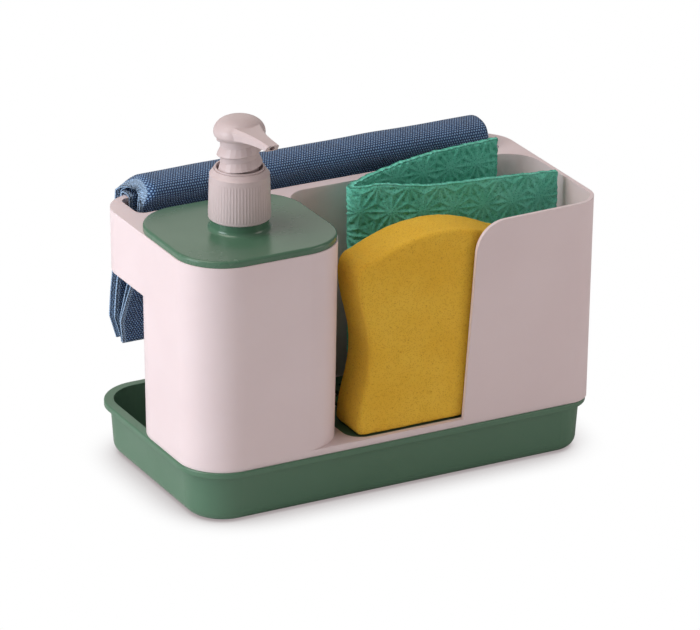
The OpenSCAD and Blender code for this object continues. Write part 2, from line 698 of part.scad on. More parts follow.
module pump_head() color(white) at_pump() difference() {
    union() {
        translate([0, 0, skirt_low]) cylinder(h = skirt_h + cut, r = skirt_r);
        rotate([0, 0, thread_turn]) lock_thread();
        rotate_extrude() polygon(concat(
            [[0, dome_low], [skirt_r, dome_low]],
            [for (t = [15 : 15 : 90]) [skirt_r + (dome_r - skirt_r) * sin(t),
                dome_low + dome_h * dome_wide_share * (1 - cos(t))]],
            [for (t = [10 : 10 : 80]) [dome_r * pow(cos(t), dome_round_share),
                dome_low + dome_h * (dome_wide_share + (1 - dome_wide_share) * sin(t))]],
            [[0, dome_top]]));
        rotate([0, 0, spout_turn]) spout();
    }
    difference() {
        translate([0, 0, skirt_low - cut]) cylinder(h = skirt_h + cut, r = skirt_r - skirt_wall);
        translate([0, 0, skirt_low - 2 * cut]) cylinder(h = skirt_h + 3 * cut, r = socket_r);
    }
    translate([0, 0, skirt_low - cut]) cylinder(h = skirt_h + stem_hold + cut, r = stem_r);
    rotate([0, 0, spout_turn]) translate([0, 0, dome_low + dome_h * nozzle_share]) rotate([0, 90, 0])
        cylinder(h = spout_reach + cut, r = nozzle_r);
}

// Half outline of the sponge inside a margin, right side from the foot up: offset from its
// middle and height
function sponge_half(by) =
    let (half_w = sponge_w / 2 - by, turn_h = sponge_h - sponge_crown - sponge_corner_r - by)
    concat(
        [[half_w - sponge_edge_r, by]],
        [for (t = [0 : sponge_steps]) [half_w - sponge_waist * pow(sin(180 * t / sponge_steps), 2),
            by + sponge_edge_r + (turn_h - by - sponge_edge_r) * t / sponge_steps]],
        [for (a = [22.5 : 22.5 : 67.5]) [half_w - sponge_corner_r * (1 - cos(a)),
            turn_h + (sponge_corner_r + sponge_crown * sponge_turn_share) * sin(a)]],
        [for (t = [0 : sponge_steps - 1]) let (u = 1 - t / sponge_steps) [(half_w - sponge_corner_r) * u,
            sponge_h - by - sponge_crown * (1 - sponge_turn_share) * u * u]]);

// Sponge: a block with a drawn-in waist, a crowned top and soft edges
module sponge() color("#d9a93f") loft([for (k = [0 : len(sponge_depth_shares) - 1]) let (
        points = sponge_half(sponge_edge_r * sponge_inset_shares[k]),
        last = len(points) - 1,
        x = bay_left + sponge_gap + sponge_w / 2,
        y = pocket_box[2] + soft_gap + (sponge_t - 2 * sponge_edge_r) * (k < 3 ? 0 : 1)
            + sponge_edge_r * sponge_depth_shares[k],
        z = grate_top + soft_gap)
    concat([for (j = [0 : last]) [x + points[j][0], y, z + points[j][1]]],
        [for (j = [last : -1 : 0]) [x - points[j][0], y, z + points[j][1]]])]);

// Sponge cloth: a band that stands on its long edge, folded round on itself
module sponge_cloth() color("#4b9178") {
    foot = grate_top + soft_gap;
    spots = [for (k = [0 : len(cloth_x_shares) - 1]) [bay_left + bay_w * cloth_x_shares[k],
        pocket_box[2] + bay_d * cloth_y_shares[k], cloth_h * cloth_h_shares[k]]];
    path = concat(
        [for (i = [0 : len(spots) - 2], s = [0 : cloth_steps - 1]) curve(spots, i, s / cloth_steps)],
        [spots[len(spots) - 1]]);
    last = len(path) - 1;
    loft([for (i = [0 : last]) let (
            way = path[min(i + 1, last)] - path[max(i - 1, 0)],
            across = [-way[1], way[0]] / norm([way[0], way[1]]) * cloth_t / 2,
            here = [path[i][0], path[i][1]],
            thin = 1 - cloth_edge / cloth_t)
        [for (p = [[thin, 0], [1, cloth_edge], [1, path[i][2] - cloth_edge], [thin, path[i][2]],
            [-thin, path[i][2]], [-1, path[i][2] - cloth_edge], [-1, cloth_edge], [-thin, 0]])
            [here[0] + across[0] * p[0], here[1] + across[1] * p[0], foot + p[1]]]]);
}

// Towel: drawn through the slot and hung over the rail, a thick roll on top and two falls
module towel() color("#3f6c9e") {
    high = rim_z + towel_rise - towel_foot;
    deep = rail_y + towel_gap + towel_leg - slot_front;
    over = rail_w + 2 * towel_gap;
    n = len(towel_out_shares);
    loft([for (s = [0 : towel_steps]) let (
            x = towel_w * (s / towel_steps - 0.5),
            wave = towel_wave * sin(360 * towel_waves * s / towel_steps))
        concat(
            [for (k = [0 : n - 1]) let (u = towel_up_shares[k]) [x,
                slot_front + deep * towel_out_shares[k] + (k < n / 2 ? -1 : 0) * wave * u * (1 - u) * 2,
                towel_foot + high * u + wave * (1 - u)]],
            [for (k = [n - 1 : -1 : 0]) let (u = towel_up_shares[k]) [x,
                slot_rear - towel_gap + over * towel_in_shares[k],
                min(towel_foot + high * u + wave * (1 - u), rim_z + towel_gap)]])]);
}

drip_tray();
caddy_body();
drain_grate();
tank_lid();
lid_seal();
neck_gasket();
pump_collar();
pump_housing();
pump_chaplet();
pump_stem();
piston_seat();
pump_piston();
return_spring();
inlet_ball();
dip_tube();
pump_head();
sponge();
sponge_cloth();
towel();
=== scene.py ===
# Sink caddy with a soap pump, a sponge bay and a towel rail: finishes, soft pieces, camera and
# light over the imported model. Lengths are metres, unless a name says mm.
import math

import bpy
import numpy as np
from mathutils import Matrix, Vector, noise


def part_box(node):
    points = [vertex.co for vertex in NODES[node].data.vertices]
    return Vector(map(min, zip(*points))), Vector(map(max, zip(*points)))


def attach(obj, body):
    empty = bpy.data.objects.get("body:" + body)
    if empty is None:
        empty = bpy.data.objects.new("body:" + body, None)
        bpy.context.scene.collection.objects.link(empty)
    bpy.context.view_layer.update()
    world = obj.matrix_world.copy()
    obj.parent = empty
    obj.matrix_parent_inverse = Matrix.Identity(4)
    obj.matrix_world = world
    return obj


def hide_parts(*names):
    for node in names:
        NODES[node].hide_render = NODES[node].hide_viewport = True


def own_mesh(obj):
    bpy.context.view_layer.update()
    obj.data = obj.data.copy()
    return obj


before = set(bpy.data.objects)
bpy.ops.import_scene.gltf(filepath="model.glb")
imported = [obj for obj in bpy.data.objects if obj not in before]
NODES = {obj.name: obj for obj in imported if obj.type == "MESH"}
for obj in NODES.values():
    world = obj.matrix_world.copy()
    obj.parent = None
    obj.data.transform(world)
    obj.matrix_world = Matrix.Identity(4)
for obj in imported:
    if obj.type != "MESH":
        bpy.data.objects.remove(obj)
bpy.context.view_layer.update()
MM = 0.001


# Nodes of a material
def srgb(code):
    """Linear RGBA of an sRGB hex colour."""
    parts = [int(code[i : i + 2], 16) / 255 for i in (1, 3, 5)]
    return [c / 12.92 if c <= 0.04045 else ((c + 0.055) / 1.055) ** 2.4 for c in parts] + [1.0]


def feed(tree, node, inputs):
    """Sets a node's inputs to numbers or hex colours, or links them to other nodes' outputs."""
    for key, value in inputs.items():
        if isinstance(value, bpy.types.NodeSocket):
            tree.links.new(value, node.inputs[key])
        else:
            node.inputs[key].default_value = srgb(value) if isinstance(value, str) else value


def add(tree, kind, inputs, out=0, **settings):
    """Adds a node with its settings and inputs, and gives one of its outputs."""
    node = tree.nodes.new("ShaderNode" + kind)
    for name, value in settings.items():
        setattr(node, name, value)
    feed(tree, node, inputs)
    return node.outputs[out]


def surface(name):
    """A new material, its node tree and its shader."""
    material = bpy.data.materials.new(name)
    material.use_nodes = True
    return material, material.node_tree, material.node_tree.nodes["Principled BSDF"]


def blotches(tree, size_mm, low=0.0, high=1.0, detail=3.0, rough=0.6, band=(0.3, 0.7)):
    """Soft blotches of one size, as a number that goes from low to high over a band of noise."""
    place = add(tree, "TexCoord", {}, "Object")
    cloud = add(tree, "TexNoise", {
        "Vector": place, "Scale": 1 / (size_mm * MM), "Detail": detail, "Roughness": rough})
    return add(tree, "MapRange", {
        "Value": cloud, "From Min": band[0], "From Max": band[1], "To Min": low, "To Max": high,
    }, interpolation_type="SMOOTHSTEP")


def two_tone(tree, size_mm, first, second, **look):
    """Two close colours in soft blotches of one size."""
    share = blotches(tree, size_mm, **look)
    return add(tree, "Mix", {0: share, 6: first, 7: second}, 2, data_type="RGBA")


def grain(tree, size_mm, height_mm, detail=2.0, rough=0.6, under=None):
    """Relief of soft grains of one size and a real height, over another relief if there is one."""
    place = add(tree, "TexCoord", {}, "Object")
    cloud = add(tree, "TexNoise", {
        "Vector": place, "Scale": 1 / (size_mm * MM), "Detail": detail, "Roughness": rough})
    below = {} if under is None else {"Normal": under}
    return add(tree, "Bump", {"Height": cloud, "Strength": 1.0, "Distance": height_mm * MM, **below})


def pores(tree, size_mm, floor, brim):
    """Scattered round pores: 0 within their floor and 1 past their brim, in shares of the size."""
    place = add(tree, "TexCoord", {}, "Object")
    away = add(tree, "TexVoronoi", {"Vector": place, "Scale": 1 / (size_mm * MM)})
    return add(tree, "MapRange", {
        "Value": away, "From Min": floor, "From Max": brim}, interpolation_type="SMOOTHSTEP")


# Materials
def moulded(name, colour, worn, rough, grain_mm=0.35, high_mm=0.006, edge_mm=0.5, scatter=0.0):
    """Injection moulded plastic: a satin grain from the mould, softened edges, and a faint
    unevenness of tone and gloss where hands and water have been. The grain of a real mould is
    finer, and is drawn this coarse so that it shows."""
    material, tree, shader = surface(name)
    softened = add(tree, "Bevel", {"Radius": edge_mm * MM}, samples=6)
    feed(tree, shader, {
        "Base Color": two_tone(tree, 60, colour, worn, rough=0.5, band=(0.25, 0.75)),
        "Roughness": blotches(tree, 38, rough - 0.04, rough + 0.05, detail=4.0),
        "Normal": grain(tree, grain_mm, high_mm, under=softened),
        "IOR": 1.49,
        "Subsurface Weight": scatter,
        "Subsurface Radius": (0.004, 0.003, 0.0025),
    })
    return material


def cut_foam():
    """Open-cell polyurethane foam, cut from a block: matt, with cells of about a millimetre and a
    few larger pores, both painted a shade darker as the shade inside them, and light that sinks in a
    little."""
    material, tree, shader = surface("open-cell polyurethane foam")
    cells = pores(tree, 0.9, floor=0.05, brim=0.5)
    pits = pores(tree, 4.5, floor=0.05, brim=0.14)
    skin = two_tone(tree, 26, "#EFC03E", "#F4C948", rough=0.55)
    # Painted shade: the cells' floors are painted darker, as shade falls in them
    skin_with_painted_cell_shade = add(tree, "Mix", {0: cells, 6: "#DAA52F", 7: skin}, 2, data_type="RGBA")
    uneven = grain(tree, 2.2, 0.22, detail=3.0)
    pitted = add(tree, "Bump", {
        "Height": pits, "Strength": 1.0, "Distance": 0.18 * MM, "Normal": uneven})
    feed(tree, shader, {
        # Painted shade: the larger pores are painted darker too
        "Base Color": add(tree, "Mix", {0: pits, 6: "#D9A635", 7: skin_with_painted_cell_shade}, 2, data_type="RGBA"),
        "Normal": add(tree, "Bump", {
            "Height": cells, "Strength": 1.0, "Distance": 0.14 * MM, "Normal": pitted}),
        "Roughness": 0.92,
        "IOR": 1.35,
        "Subsurface Weight": 0.25,
        "Subsurface Radius": (0.0035, 0.0022, 0.0006),
    })
    return material


def embossed_cellulose():
    """Cellulose sponge cloth, cast and embossed: matt, with fine flattened pores whose floors are
    painted a deeper green as the shade inside them."""
    material, tree, shader = surface("embossed cellulose")
    open_pores = pores(tree, 1.1, floor=0.08, brim=0.5)
    dyed = two_tone(tree, 14, "#63C8AE", "#76D7C0")
    uneven = grain(tree, 3.0, 0.2, detail=3.0)
    feed(tree, shader, {
        # Painted shade: the pores' floors are painted a deeper green
        "Base Color": add(tree, "Mix", {0: open_pores, 6: "#48AA90", 7: dyed}, 2, data_type="RGBA"),
        "Normal": add(tree, "Bump", {
            "Height": open_pores, "Strength": 1.0, "Distance": 0.12 * MM, "Normal": uneven}),
        "Roughness": 0.8,
        "IOR": 1.4,
        "Subsurface Weight": 0.12,
        "Subsurface Radius": (0.0008, 0.002, 0.0014),
    })
    return material


# Weave: the picks' spacing, how much each is narrowed in it, the rows' share of that spacing, and
# the size and depth of the fray along a pick's edge
PICK_APART_MM = 1.65
PICK_NARROWS = 1.4
ROW_SHARE = 0.82
FRAY_MM = 1.7
FRAY = 0.09


def off_middle(tree, run):
    """Squared distance to the middle of a pick, for a place that is counted in picks."""
    part = add(tree, "Math", {0: run}, operation="FRACT")
    off = add(tree, "Math", {0: part, 1: 0.5}, operation="SUBTRACT")
    return add(tree, "Math", {0: off, 1: 2.0}, operation="POWER")


def staggered_picks(tree, plan, over, along):
    """Squared distance from the middle of a pick on the cloth's plan, even and then frayed: each
    second row is shifted by half a pick, and rows lie closer than the picks in them."""
    apart = PICK_APART_MM * MM
    row = add(tree, "Math", {0: along, 1: apart * ROW_SHARE}, operation="DIVIDE")
    pair = add(tree, "Math", {0: row, 1: 2.0}, operation="MODULO")
    odd = add(tree, "Math", {0: pair}, operation="FLOOR")
    shift = add(tree, "Math", {0: odd, 1: 0.5}, operation="MULTIPLY")
    column = add(tree, "Math", {0: over, 1: apart}, operation="DIVIDE")
    shifted = add(tree, "Math", {0: column, 1: shift}, operation="ADD")
    narrow = add(tree, "Math", {0: off_middle(tree, shifted), 1: PICK_NARROWS}, operation="MULTIPLY")
    far = add(tree, "Math", {0: narrow, 1: off_middle(tree, row)}, operation="ADD")
    cloud = add(tree, "TexNoise", {
        "Vector": plan, "Scale": 1 / (FRAY_MM * MM), "Detail": 2.0, "Roughness": 0.5})
    centred = add(tree, "Math", {0: cloud, 1: 0.5}, operation="SUBTRACT")
    fray = add(tree, "Math", {0: centred, 1: FRAY}, operation="MULTIPLY")
    return far, add(tree, "Math", {0: far, 1: fray}, operation="ADD")


def woven_microfibre(wide):
    """Two-tone microfibre, woven: pale picks float over a navy ground in staggered rows, on the
    cloth's own unrolled plan, and its two long edges are hemmed pale, partly a stitched band and
    partly a painted highlight of light catching those edges. The picks lie 1.65 mm apart, about as
    fine as the render can show."""
    material, tree, shader = surface("two-tone microfibre")
    plan = add(tree, "TexCoord", {}, "UV")
    over = add(tree, "SeparateXYZ", {0: plan})
    along = over.node.outputs["Y"]
    far, frayed = staggered_picks(tree, plan, over, along)
    pick = add(tree, "MapRange", {
        "Value": frayed, "From Min": 0.03, "From Max": 0.17, "To Min": 0.9, "To Max": 0.0,
    }, interpolation_type="SMOOTHSTEP")
    ground = two_tone(tree, 9, "#20406F", "#294F82")
    weave = add(tree, "Mix", {0: pick, 6: ground, 7: "#93BDE6"}, 2, data_type="RGBA")
    other_edge = add(tree, "Math", {0: wide, 1: over}, operation="SUBTRACT")
    from_edge = add(tree, "Math", {0: over, 1: other_edge}, operation="MINIMUM")
    # Painted highlight: the pale band along the two long edges is partly a stitched band's own colour
    # and partly painted light catching those edges
    hem_with_painted_edge_light = add(tree, "MapRange", {
        "Value": from_edge, "From Min": 1.6 * MM, "From Max": 2.4 * MM, "To Min": 0.75, "To Max": 0.0,
    }, interpolation_type="SMOOTHSTEP")
    swell = add(tree, "MapRange", {
        "Value": far, "From Min": 0.0, "From Max": 0.4, "To Min": 1.0, "To Max": 0.0,
    }, interpolation_type="SMOOTHSTEP")
    feed(tree, shader, {
        "Base Color": add(tree, "Mix", {0: hem_with_painted_edge_light, 6: weave, 7: "#A3C4E4"}, 2, data_type="RGBA"),
        "Normal": add(tree, "Bump", {
            "Height": swell, "Strength": 1.0, "Distance": 0.8 * MM, "Normal": grain(tree, 0.5, 0.12)}),
        "Roughness": 0.9,
        "IOR": 1.4,
        "Sheen Weight": 0.25,
        "Sheen Roughness": 0.4,
    })
    return material


def drawn_steel():
    """Stainless steel, drawn to wire or ground to a ball: satin, its gloss uneven from fine
    scratches, which are drawn coarser than real ones so that they show."""
    material, tree, shader = surface("drawn stainless steel")
    feed(tree, shader, {
        "Base Color": two_tone(tree, 5, "#B4B7BB", "#C6C9CC", detail=2.0, rough=0.5),
        "Roughness": blotches(tree, 1.2, 0.22, 0.38),
        "Normal": grain(tree, 0.25, 0.004, rough=0.5),
        "Metallic": 1.0,
    })
    return material


FINISHES = {
    # Box: a warm white with a satin skin, a little light inside its thin walls
    "white": moulded("satin white polypropylene", "#ECDEE0", "#E8D9DB", 0.42, scatter=0.06),
    # Tray: a greyed mid green, a shade glossier than the box
    "green": moulded("satin green polypropylene", "#50785F", "#557C64", 0.36),
    # Lid: the same green from a polished mould, which mirrors the pump's foot
    "lid": moulded("polished green polypropylene", "#4F755E", "#537962", 0.24, high_mm=0.002),
    # Grate: darker and duller than the tray
    "grate": moulded("dull green polypropylene", "#4B7059", "#476A54", 0.45, edge_mm=0.4),
    # Pump: a greyer white than the box, with sharper edges
    "pump": moulded(
        "satin white pump polypropylene", "#D3C5C5", "#CCBDBD", 0.38, edge_mm=0.35, scatter=0.08),
    # Lid's seal: pale and dull, as rubbery plastics are
    "seal": moulded("pale soft elastomer", "#E6E2E0", "#DDD9D6", 0.55, grain_mm=0.6, edge_mm=0.3),
    # Neck's washer: a coarse, dull foam skin
    "foam_ring": moulded(
        "foamed polyethylene", "#F0EDEA", "#E6E3E0", 0.6, grain_mm=0.5, high_mm=0.02, edge_mm=0.2),
    # Pump's inner pieces and tube: undyed and milky, so light goes well into them
    "natural": moulded(
        "natural polyethylene", "#DCE0E0", "#D3D8D8", 0.33, edge_mm=0.25, scatter=0.3),
    "steel": drawn_steel(),
}
NODE_FINISH = {
    "caddy_body": "white", "drip_tray": "green", "drain_grate": "grate", "tank_lid": "lid",
    "lid_seal": "seal", "neck_gasket": "foam_ring", "pump_collar": "pump", "pump_housing": "natural",
    "pump_chaplet": "pump", "pump_stem": "pump", "piston_seat": "pump", "pump_piston": "natural",
    "return_spring": "steel", "inlet_ball": "steel", "dip_tube": "natural", "pump_head": "pump",
}
for node, finish in NODE_FINISH.items():
    slots = NODES[node].data.materials
    slots.clear()
    slots.append(FINISHES[finish])


# Meshes
def make(name, points, faces, finish, plan=None):
    """A smooth-shaded piece of points and faces, with its unrolled plan if it has one."""
    mesh = bpy.data.meshes.new(name)
    mesh.from_pydata([tuple(p) for p in points], [], [tuple(f) for f in faces])
    if plan is not None:
        layer = mesh.uv_layers.new(name="plan")
        index = np.empty(len(mesh.loops), dtype=np.int32)
        mesh.loops.foreach_get("vertex_index", index)
        layer.data.foreach_set("uv", plan[index].ravel())
    mesh.materials.append(finish)
    mesh.shade_smooth()
    piece = bpy.data.objects.new(name, mesh)
    bpy.context.scene.collection.objects.link(piece)
    return piece


def apply_modifiers(piece):
    """Bakes a piece's modifiers into its mesh."""
    bpy.context.view_layer.update()
    ready = piece.evaluated_get(bpy.context.evaluated_depsgraph_get())
    mesh = bpy.data.meshes.new_from_object(ready)
    piece.modifiers.clear()
    piece.data = mesh


def through(points, steps):
    """Smooth curve through points, in even steps along it, and its length."""
    p = np.asarray(points, float)
    p = np.vstack([2 * p[0] - p[1], p, 2 * p[-1] - p[-2]])
    t = np.linspace(0, 1, 24, endpoint=False)[:, None]
    line = [
        0.5 * (2 * b + (c - a) * t + (2 * a - 5 * b + 4 * c - d) * t**2 + (3 * b - a - 3 * c + d) * t**3)
        for a, b, c, d in zip(p[:-3], p[1:-2], p[2:-1], p[3:])
    ]
    line = np.vstack(line + [p[-2:-1]])
    run = np.r_[0, np.cumsum(np.linalg.norm(np.diff(line, axis=0), axis=1))]
    at = np.linspace(0, run[-1], steps)
    return np.stack([np.interp(at, run, line[:, k]) for k in range(line.shape[1])], 1), run[-1]


def closed_sheet(front, back, plan):
    """Points, faces and plan of a closed sheet between two grids of points."""
    rows, cols = front.shape[:2]
    index = np.arange(rows * cols).reshape(rows, cols)
    quads = np.stack([index[:-1, :-1], index[1:, :-1], index[1:, 1:], index[:-1, 1:]], -1).reshape(-1, 4)
    n = rows * cols
    rim = np.concatenate([index[0, :-1], index[:-1, -1], index[-1, :0:-1], index[:0:-1, 0]])
    walls = np.stack([rim, np.roll(rim, -1), np.roll(rim, -1) + n, rim + n], 1)
    faces = np.concatenate([quads, quads[:, ::-1] + n, walls[:, ::-1]])
    points = np.concatenate([front.reshape(-1, 3), back.reshape(-1, 3)])
    return points, faces, np.concatenate([plan.reshape(-1, 2)] * 2)


def ease(t):
    """Numbers from 0 to 1, eased in and out."""
    return t * t * (3 - 2 * t)


# Walls of the caddy that the soft pieces lie against
GRATE_GAP = 0.0003
RAIL_W = 0.0055
RAIL_H = 0.0363
SLOT_W = 0.0247
BODY_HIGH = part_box("caddy_body")[1]
GRATE_LOW, GRATE_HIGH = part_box("drain_grate")
BAY_LEFT, BAY_RIGHT = GRATE_LOW[0] - GRATE_GAP, GRATE_HIGH[0] + GRATE_GAP
BAY_FRONT, BAY_REAR = GRATE_LOW[1] - GRATE_GAP, GRATE_HIGH[1] + GRATE_GAP
CADDY_TOP = BODY_HIGH[2]
RAIL_REAR = BODY_HIGH[1]
RAIL_FRONT = RAIL_REAR - RAIL_W
RAIL_LOW = CADDY_TOP - RAIL_H
SLOT_FRONT = RAIL_FRONT - SLOT_W


# Sponge
# Outline: how far the waist draws in, how high the crown stands and the share of it that the
# shoulders take, and the corner at the foot
WAIST = 0.007
CROWN = 0.013
CROWN_SHARE = 0.17
SHOULDER = 0.008
HEEL = 0.004
HEEL_TIP_IN = 0.0012
HEEL_TIP_UP = 0.0008
FLANK_LOW = 0.003
FLANK_STEPS = 26
TOP_STEPS = 14
SPONGE_EDGE = 0.0026
SKIN_STEP = 0.0011
# Waves of the foam's skin, size in metres and height in millimetres, and its dents
SKIN_WAVES = ((0.011, 0.18), (0.0026, 0.13))
SKIN_SINK_MM = 0.1
DENT_APART = 0.009
DENT_REACH = 0.2
DENT_STEEP_MM = 1.2


def half_sponge(half, tall, margin):
    """Half outline inside a margin, from the middle of the foot to the middle of the top."""
    wide = half - margin
    turn = tall - CROWN - SHOULDER - margin
    foot = [[0, margin], [wide * 0.5, margin], [wide - HEEL, margin],
            [wide - HEEL_TIP_IN, margin + HEEL_TIP_UP]]
    t = np.linspace(0, 1, FLANK_STEPS)
    drawn_in = wide - WAIST * np.sin(math.pi * t) ** 2
    flank = np.stack([drawn_in, margin + FLANK_LOW + (turn - margin - FLANK_LOW) * t], 1)
    a = np.radians(np.arange(15, 90, 15))
    rise = SHOULDER + CROWN * CROWN_SHARE
    bend = np.stack([wide - SHOULDER * (1 - np.cos(a)), turn + rise * np.sin(a)], 1)
    u = 1 - np.linspace(0, 1, TOP_STEPS)
    top = np.stack([(wide - SHOULDER) * u, tall - margin - CROWN * (1 - CROWN_SHARE) * u**2], 1)
    return np.vstack([foot, flank, bend, top])


def sponge_block(low, high):
    """Points and faces of the waisted block, with its front and rear edges rounded."""
    mid = (low[0] + high[0]) / 2
    half, tall, deep = (high[0] - low[0]) / 2, high[2] - low[2], high[1] - low[1]
    a = np.radians(np.arange(0, 91, 15))
    rounds = np.stack([SPONGE_EDGE * (1 - np.cos(a)), SPONGE_EDGE * (1 - np.sin(a))], 1)
    rings = [(d, margin) for d, margin in rounds] + [(deep - d, margin) for d, margin in rounds[::-1]]
    points, faces = [], []
    for d, margin in rings:
        side = half_sponge(half, tall, margin)
        right = [(mid + x, low[1] + d, low[2] + z) for x, z in side]
        left = [(mid - x, low[1] + d, low[2] + z) for x, z in side[-2:0:-1]]
        points += right + left
    n = len(right) + len(left)
    for i in range(len(rings) - 1):
        for j in range(n):
            k = (j + 1) % n
            faces.append((i * n + j, (i + 1) * n + j, (i + 1) * n + k, i * n + k))
    faces += [range(n), range(len(rings) * n - 1, (len(rings) - 1) * n - 1, -1)]
    return points, faces


def roughen_skin(mesh):
    """Moves a foam skin in and out along its normals, by waves and by scattered dents."""
    points = np.empty(len(mesh.vertices) * 3)
    mesh.vertices.foreach_get("co", points)
    points = points.reshape(-1, 3)
    outward = np.empty(len(mesh.vertices) * 3)
    mesh.vertex_normals.foreach_get("vector", outward)
    outward = outward.reshape(-1, 3)
    swell = np.array([
        sum(noise.noise(Vector(p) / size) * high for size, high in SKIN_WAVES)
        - max(0.0, DENT_REACH - noise.voronoi(Vector(p) / DENT_APART)[0][0]) * DENT_STEEP_MM
        for p in points
    ])
    points += outward * (swell[:, None] - SKIN_SINK_MM) * MM
    mesh.vertices.foreach_set("co", points.ravel())
    mesh.update()


def make_sponge():
    """A foam block with a drawn-in waist and a crowned top, its skin slightly uneven."""
    low, high = (np.array(c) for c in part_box("sponge"))
    points, faces = sponge_block(low, high)
    piece = make("sponge_block", points, faces, cut_foam())
    skin = piece.modifiers.new("even skin", "REMESH")
    skin.mode = "VOXEL"
    skin.voxel_size = SKIN_STEP
    skin.use_smooth_shade = True
    apply_modifiers(piece)
    roughen_skin(piece.data)
    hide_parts("sponge")
    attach(piece, "sponge")


# Sponge cloth
CLOTH_FOLD_H = 0.12
CLOTH_HALF = 0.0019
CLOTH_THINS = 0.0006
CLOTH_STEPS = 330
CLOTH_ROWS = 168
# Embossing: stars on triangles of one side, ribs along and inside them, and pin holes between
STAR_SIDE = 0.0172
RIB_W = 0.0012
RIB_H = 0.00075
SPOKE_NARROWS = 1.25
RIB_START = 0.004
# Shift of the rear side's ribs against the front side's, along and up
RIB_SHIFT = (0.006, 0.009)
PIN_W = 0.0009
PIN_DEEP = 0.0009
PIN_FLAT = 1.35
PIN_SPOT = (1 / 9, 4 / 9, 4 / 9)
# Sway of the whole cloth towards its top, wander of the ribs, and fuzz of the skin
SWAY = 0.0009
SWAY_RUN = 0.034
SWAY_START = 1.0
BEND = 0.0012
BEND_RUN = 0.019
FUZZ = 0.00005
FUZZ_SEED = 11
TOP_SHARE = 0.985
# Waves of the cut top edge: height, run and start of each
TOP_WAVES = ((0.00012, 0.0031, 0), (0.0001, 0.0017, 2))
# The folded path in plan, in shares of the bay, and its top edge, in shares of CLOTH_FOLD_H
ALONG_SHARES = (0.979, 0.731, 0.48, 0.317, 0.233, 0.317, 0.56, 0.876)
ACROSS_SHARES = (0.439, 0.475, 0.56, 0.696, 0.808, 0.922, 0.951, 0.955)
HEIGHT_SHARES = (0.993, 1.006, 1.006, 1.015, 0.99, 0.99, 1.041, 1.066)


def star_ribs(u, v):
    """Height, 0 to 1, of ribs that run along a triangle lattice and to each triangle's middle,
    and depth, 0 to 1, of the pin holes between them."""
    h = STAR_SIDE * math.sqrt(3) / 2
    b = v / h
    a = u / STAR_SIDE - b / 2
    a, b = a % 1.0, b % 1.0
    flip = a + b > 1
    a, b = np.where(flip, 1 - a, a), np.where(flip, 1 - b, b)
    three = np.stack([a, b, 1 - a - b])
    edge = three.min(0) * h
    order = np.sort(three, 0)
    spoke = (order[1] - order[0]) * STAR_SIDE / 2
    near = np.minimum(edge, spoke * SPOKE_NARROWS)
    apart = order - np.array(PIN_SPOT)[:, None, None]
    from_pin = STAR_SIDE * np.sqrt((apart**2).sum(0) / 2)
    rib = np.clip(1 - near / RIB_W, 0, 1)
    pin = np.clip(PIN_FLAT - from_pin / PIN_W, 0, 1)
    return ease(rib), ease(pin)


def cloth_path():
    """The cloth's top edge, from the bay's right end round its fold and back, and its length."""
    wide, deep = BAY_RIGHT - BAY_LEFT, BAY_REAR - BAY_FRONT
    shares = zip(ALONG_SHARES, ACROSS_SHARES, HEIGHT_SHARES)
    spots = [(BAY_LEFT + wide * x, BAY_FRONT + deep * y, CLOTH_FOLD_H * z) for x, y, z in shares]
    return through(spots, CLOTH_STEPS)


def make_sponge_cloth():
    """A 5 mm cellulose cloth with embossed ribs, folded round and stood on its edge."""
    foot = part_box("sponge_cloth")[0][2]
    path, length = cloth_path()
    way = np.gradient(path, axis=0)
    way[:, 2] = 0
    out = np.cross(way, (0.0, 0.0, 1.0))
    out /= np.linalg.norm(out, axis=-1, keepdims=True)
    share = np.linspace(0, 1, CLOTH_ROWS)[None, :]
    u = np.linspace(0, length, len(path))[:, None] * np.ones(share.shape)
    v = share * path[:, 2:3]
    edge = np.minimum.reduce([u, length - u, v, path[:, 2:3] - v])
    thin = CLOTH_THINS * np.clip(1 - edge / (2 * CLOTH_THINS), 0, 1) ** 2
    sway = SWAY * np.sin(u / SWAY_RUN + SWAY_START) * share**2
    wavy = sum(high * np.sin(u / run + start) for high, run, start in TOP_WAVES) * (share > TOP_SHARE)

    def face(sign, turn):
        """One side of the cloth, with ribs of its own that wander a little."""
        bend = BEND * np.sin(v / BEND_RUN + turn)
        rib, pin = star_ribs(u + bend + turn * RIB_SHIFT[0], v + RIB_START + turn * RIB_SHIFT[1])
        fuzz = np.random.default_rng(FUZZ_SEED + turn).normal(0, FUZZ, u.shape)
        shift = sign * (CLOTH_HALF + RIB_H * rib - PIN_DEEP * pin - thin + fuzz) + sway
        return np.stack([
            path[:, 0:1] + out[:, 0:1] * shift, path[:, 1:2] + out[:, 1:2] * shift, foot + v + wavy], -1)

    points, faces, plan = closed_sheet(face(1, 0), face(-1, 1), np.stack([u, v], -1))
    piece = make("sponge_cloth_sheet", points, faces, embossed_cellulose(), plan)
    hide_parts("sponge_cloth")
    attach(piece, "sponge_cloth")


# Towel
TOWEL_THICK = 0.0017
TOWEL_GAP = 0.0006
TOWEL_STEPS = 600
TOWEL_COLUMNS = 160
# Clear of the rail and of the outside, in shares of the towel's thickness
INSIDE_CLEAR = 0.65
OUTSIDE_CLEAR = 0.6
FOLD_START = 0.8
# How far the roll stands out behind the rail, and how far its inside reaches over the rail
ROLL_PROUD = 0.0076
ROLL_OVER = 0.0067
